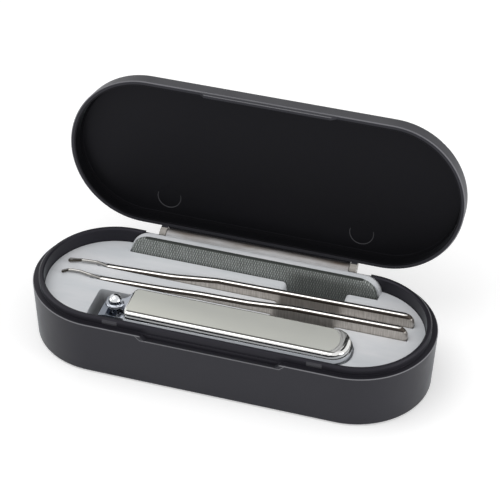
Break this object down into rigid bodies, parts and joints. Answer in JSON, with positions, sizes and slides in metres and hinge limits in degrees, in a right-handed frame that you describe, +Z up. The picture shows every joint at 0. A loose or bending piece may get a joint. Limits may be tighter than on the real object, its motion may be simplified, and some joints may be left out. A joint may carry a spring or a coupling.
{
  "type": "manicure set case",
  "caption": "Pocket stadium-shaped hinged case whose moulded tray holds a nail clipper, slim picks and a nail file on edge.",
  "frame": {"origin": "middle of the base's flat underside, which the case stands on", "axes": "+X along the case to the clipper's round tail, +Y to the hinge at the back, +Z up; the lid is stored open at its stop"},
  "size_m": [0.1198, 0.0623, 0.0647],
  "materials": {
    "case_plastic": "fine satin moulded",
    "tray_plastic": "smooth moulded",
    "plain_steel": "plain",
    "satin_steel": "satin, brushed",
    "file_steel": "cross-cut and grey-green",
    "polished_steel": "polished"
  },
  "bodies": {
    "case": {"base_shell": "case_plastic", "insert_tray": "tray_plastic", "hinge_pin": "plain_steel"},
    "lid": {"lid_shell": "case_plastic"},
    "far_pick_body": {"far_pick": "satin_steel"},
    "near_pick_body": {"near_pick": "satin_steel"},
    "nail_file_body": {"nail_file": "file_steel"},
    "clipper": {"clipper_lower_jaw": "polished_steel", "clipper_pin": "polished_steel", "clipper_tail_rivet": "polished_steel"},
    "upper_jaw": {"clipper_upper_jaw": "polished_steel"},
    "lever": {"clipper_lever": "satin_steel"}
  },
  "joints": [
    {"name": "lid_hinge", "type": "hinge", "parent": "case", "child": "lid", "pos_m": [0, 0.0251, 0.01715], "axis": [-1, 0, 0], "range_deg": [-98.8, 0]},
    {"name": "far_pick_lift", "type": "slide", "parent": "case", "child": "far_pick_body", "axis": [0, 0, 1], "range_m": [0, 0.025]},
    {"name": "near_pick_lift", "type": "slide", "parent": "case", "child": "near_pick_body", "axis": [0, 0, 1], "range_m": [0, 0.025]},
    {"name": "nail_file_lift", "type": "slide", "parent": "case", "child": "nail_file_body", "axis": [0, 0, 1], "range_m": [0, 0.025]},
    {"name": "clipper_lift", "type": "slide", "parent": "case", "child": "clipper", "axis": [0, 0, 1], "range_m": [0, 0.025]},
    {"name": "lever_lift", "type": "hinge", "parent": "clipper", "child": "lever", "pos_m": [-0.03235, -0.01, 0.01735], "axis": [0, -1, 0], "range_deg": [0, 11]},
    {"name": "upper_jaw_squeeze", "type": "hinge", "parent": "clipper", "child": "upper_jaw", "pos_m": [0.03265, -0.01, 0.01595], "axis": [0, -1, 0], "range_deg": [0, 1.15], "stiffness_Nm_per_rad": 5, "springref_deg": -0.11}
  ]
}
